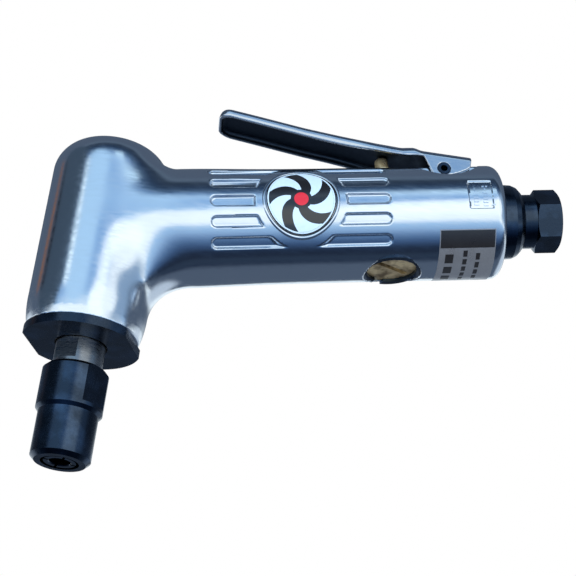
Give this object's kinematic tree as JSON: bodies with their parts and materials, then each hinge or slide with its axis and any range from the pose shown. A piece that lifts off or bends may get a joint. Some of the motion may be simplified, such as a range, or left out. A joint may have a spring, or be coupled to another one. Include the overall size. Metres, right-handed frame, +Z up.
{
  "type": "angle die grinder",
  "caption": "Right-angle air die grinder: polished cast housing with direct-drive motor head, paddle throttle lever, quarter-inch collet and rear air inlet.",
  "frame": {"origin": "on the spindle axis where the collet's gripping bore starts, just inside the collet mouth", "axes": "+Z up the spindle axis into the motor head, so the collet opens to -Z; the handle leaves the head towards +X and rises 10 degrees; the lever is on the upper side of the handle"},
  "size_m": [0.1616, 0.037, 0.1245],
  "materials": {
    "polished_aluminium": "polished casting",
    "black_oxide": "black oxide on turned steel, satin",
    "bare_steel": "ground",
    "bearing_steel": "polished",
    "lever_steel": "polished pressed steel",
    "brass": "turned, dulled",
    "rubber": "matt",
    "felt": "pressed felt",
    "vane_composite": "laminate",
    "badge": "gloss with pale pattern",
    "label": "clear film with dark band"
  },
  "bodies": {
    "grinder_body": {"housing": "polished_aluminium", "lock_ring": "black_oxide", "lock_ring_seal": "rubber", "spindle_seal": "felt", "lower_end_plate": "bare_steel", "motor_cylinder": "bare_steel", "upper_end_plate": "bare_steel", "cylinder_dowel": "bearing_steel", "wave_washer": "bearing_steel", "lower_bearing_outer_race": "bearing_steel", "upper_bearing_outer_race": "bearing_steel", "valve_guide": "brass", "stem_o_ring": "rubber", "valve_seat": "brass", "valve_spring": "bearing_steel", "regulator_clip": "black_oxide", "lever_pin": "black_oxide", "inlet_bushing": "black_oxide", "inlet_o_ring": "rubber", "inlet_screen": "bare_steel", "exhaust_muffler": "felt", "exhaust_ring": "black_oxide", "exhaust_cap": "black_oxide", "side_badges": "badge", "warning_label": "label"},
    "spindle_group": {"spindle": "bare_steel", "spindle_spacer": "bare_steel", "rotor": "bare_steel", "rotor_vanes": "vane_composite", "lower_bearing_inner_race": "bearing_steel", "upper_bearing_inner_race": "bearing_steel"},
    "lower_ball_set": {"lower_bearing_balls": "bearing_steel", "lower_bearing_cage": "brass"},
    "upper_ball_set": {"upper_bearing_balls": "bearing_steel", "upper_bearing_cage": "brass"},
    "collet_group": {"collet": "black_oxide"},
    "nut_group": {"collet_nut": "black_oxide"},
    "lever_group": {"throttle_lever": "lever_steel"},
    "valve_group": {"valve_stem": "brass", "valve_poppet": "brass", "poppet_seal": "rubber"},
    "regulator_group": {"regulator": "brass", "regulator_o_ring": "rubber"}
  },
  "joints": [
    {"name": "spindle_spin", "type": "hinge", "parent": "grinder_body", "child": "spindle_group", "pos_m": [0, 0, 0.06], "axis": [0, 0, 1], "continuous": true},
    {"name": "lower_balls_spin", "type": "hinge", "parent": "grinder_body", "child": "lower_ball_set", "pos_m": [0, 0, 0.05], "axis": [0, 0, 1], "continuous": true},
    {"name": "upper_balls_spin", "type": "hinge", "parent": "grinder_body", "child": "upper_ball_set", "pos_m": [0, 0, 0.0905], "axis": [0, 0, 1], "continuous": true},
    {"name": "collet_release", "type": "slide", "parent": "spindle_group", "child": "collet_group", "axis": [0, 0, -1], "range_m": [0, 0.0025]},
    {"name": "collet_nut_turn", "type": "hinge", "parent": "collet_group", "child": "nut_group", "pos_m": [0, 0, 0.01], "axis": [0, 0, -1], "range_deg": [0, 720]},
    {"name": "lever_press", "type": "hinge", "parent": "grinder_body", "child": "lever_group", "pos_m": [0.10362, 0, 0.10991], "axis": [0, -1, 0], "range_deg": [0, 12], "stiffness_Nm_per_rad": 0.8, "springref_deg": -17.19},
    {"name": "valve_travel", "type": "slide", "parent": "grinder_body", "child": "valve_group", "axis": [0.1736, 0, -0.9848], "range_m": [0, 0.00431], "deforming": ["valve_spring"]},
    {"name": "regulator_turn", "type": "hinge", "parent": "grinder_body", "child": "regulator_group", "pos_m": [0.0904, 0, 0.07894], "axis": [0.1736, 0, -0.9848], "range_deg": [0, 180]}
  ],
  "couplings": [
    {"joint": "lower_balls_spin", "follows": "spindle_spin", "ratio": 0.372},
    {"joint": "upper_balls_spin", "follows": "spindle_spin", "ratio": 0.367},
    {"joint": "collet_nut_turn", "follows": "collet_release", "rad_per_m": 5026.5},
    {"joint": "lever_press", "follows": "valve_travel", "rad_per_m": 48.544}
  ]
}
